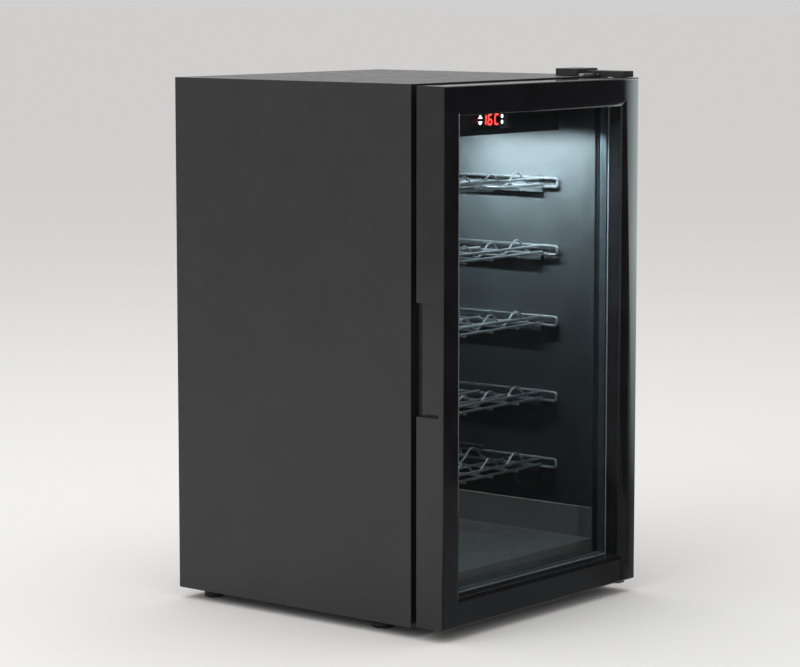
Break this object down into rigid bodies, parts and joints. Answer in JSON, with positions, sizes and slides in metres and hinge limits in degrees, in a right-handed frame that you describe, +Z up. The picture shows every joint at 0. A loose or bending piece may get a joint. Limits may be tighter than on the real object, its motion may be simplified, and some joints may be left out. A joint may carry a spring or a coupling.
{
  "type": "wine cooler",
  "caption": "Free-standing wine cooler with a framed glass door, wire bottle shelves, a lamp and display under its ceiling, and a compressor system behind.",
  "frame": {"origin": "centre of the footprint of the whole cooler at floor level, under its four feet", "axes": "+Z up; -Y towards the person in front of the door; +X towards the hinge side, which is on the right when facing the door"},
  "size_m": [0.445, 0.505, 0.745],
  "materials": {
    "gloss_black_frame": "gloss",
    "satin_black_moulding": "satin",
    "black_enamel_steel": "satin",
    "inner_liner": "satin",
    "zinc_plated_steel": "satin",
    "chromed_shelf_wire": "polished",
    "copper_tube": "satin",
    "aluminium": "satin",
    "rubber": "matte",
    "insulation_foam": "matte",
    "circuit_board": "satin",
    "tinted_glass": "polished",
    "smoked_display_window": "gloss",
    "lamp_diffuser": "satin",
    "white_nylon": "satin"
  },
  "bodies": {
    "cabinet": {"temperature_sensor": "satin_black_moulding", "control_box": "satin_black_moulding", "fan_cover": "satin_black_moulding", "fan_motor": "satin_black_moulding", "terminal_cover": "satin_black_moulding", "drip_tray": "satin_black_moulding", "power_board_box": "satin_black_moulding", "power_inlet": "satin_black_moulding", "top_hinge_cover": "satin_black_moulding", "outer_shell": "black_enamel_steel", "compressor": "black_enamel_steel", "condenser_tube": "black_enamel_steel", "condenser_wires": "black_enamel_steel", "bottom_hinge_plate": "black_enamel_steel", "base_pan": "black_enamel_steel", "inner_liner": "inner_liner", "rear_panel": "zinc_plated_steel", "machine_bay_panel": "zinc_plated_steel", "top_hinge_plate": "zinc_plated_steel", "top_hinge_pin": "zinc_plated_steel", "bottom_hinge_pin": "zinc_plated_steel", "top_hinge_screw_1": "zinc_plated_steel", "top_hinge_screw_2": "zinc_plated_steel", "bottom_hinge_screw_1": "zinc_plated_steel", "bottom_hinge_screw_2": "zinc_plated_steel", "suction_tube": "copper_tube", "capillary_tube": "copper_tube", "discharge_tube": "copper_tube", "filter_drier": "copper_tube", "evaporator_plate": "aluminium", "rear_foot_left": "rubber", "rear_foot_right": "rubber", "compressor_grommet_1": "rubber", "compressor_grommet_2": "rubber", "compressor_grommet_3": "rubber", "compressor_grommet_4": "rubber", "foam_insulation": "insulation_foam", "control_board": "circuit_board", "display_window": "smoked_display_window", "lamp_lens": "lamp_diffuser", "condenser_clip_1": "white_nylon", "condenser_clip_2": "white_nylon", "condenser_clip_3": "white_nylon", "condenser_clip_4": "white_nylon"},
    "door": {"door_frame": "gloss_black_frame", "door_inner_frame": "satin_black_moulding", "door_gasket": "rubber", "glass_outer": "tinted_glass", "glass_spacer": "aluminium", "glass_inner": "tinted_glass", "door_bush_bottom": "white_nylon", "door_bush_top": "white_nylon"},
    "fan": {"fan_rotor": "satin_black_moulding"},
    "left_foot": {"front_foot_left": "satin_black_moulding"},
    "right_foot": {"front_foot_right": "satin_black_moulding"},
    "shelf_1": {"shelf_1": "chromed_shelf_wire"},
    "shelf_2": {"shelf_2": "chromed_shelf_wire"},
    "shelf_3": {"shelf_3": "chromed_shelf_wire"},
    "shelf_4": {"shelf_4": "chromed_shelf_wire"},
    "shelf_5": {"shelf_5": "chromed_shelf_wire"}
  },
  "joints": [
    {"name": "door_hinge", "type": "hinge", "parent": "cabinet", "child": "door", "pos_m": [0.2085, -0.23, 0.375], "axis": [0, 0, 1], "range_deg": [0, 115]},
    {"name": "shelf_1_slide", "type": "slide", "parent": "cabinet", "child": "shelf_1", "axis": [0, -1, 0], "range_m": [0, 0.06]},
    {"name": "shelf_2_slide", "type": "slide", "parent": "cabinet", "child": "shelf_2", "axis": [0, -1, 0], "range_m": [0, 0.06]},
    {"name": "shelf_3_slide", "type": "slide", "parent": "cabinet", "child": "shelf_3", "axis": [0, -1, 0], "range_m": [0, 0.06]},
    {"name": "shelf_4_slide", "type": "slide", "parent": "cabinet", "child": "shelf_4", "axis": [0, -1, 0], "range_m": [0, 0.06]},
    {"name": "shelf_5_slide", "type": "slide", "parent": "cabinet", "child": "shelf_5", "axis": [0, -1, 0], "range_m": [0, 0.06]},
    {"name": "fan_spin", "type": "hinge", "parent": "cabinet", "child": "fan", "pos_m": [0, 0.154, 0.5], "axis": [0, 1, 0], "continuous": true},
    {"name": "left_foot_screw", "type": "hinge", "parent": "cabinet", "child": "left_foot", "pos_m": [-0.185, -0.12, 0], "axis": [0, 0, 1], "continuous": true},
    {"name": "right_foot_screw", "type": "hinge", "parent": "cabinet", "child": "right_foot", "pos_m": [0.185, -0.12, 0], "axis": [0, 0, 1], "continuous": true}
  ]
}
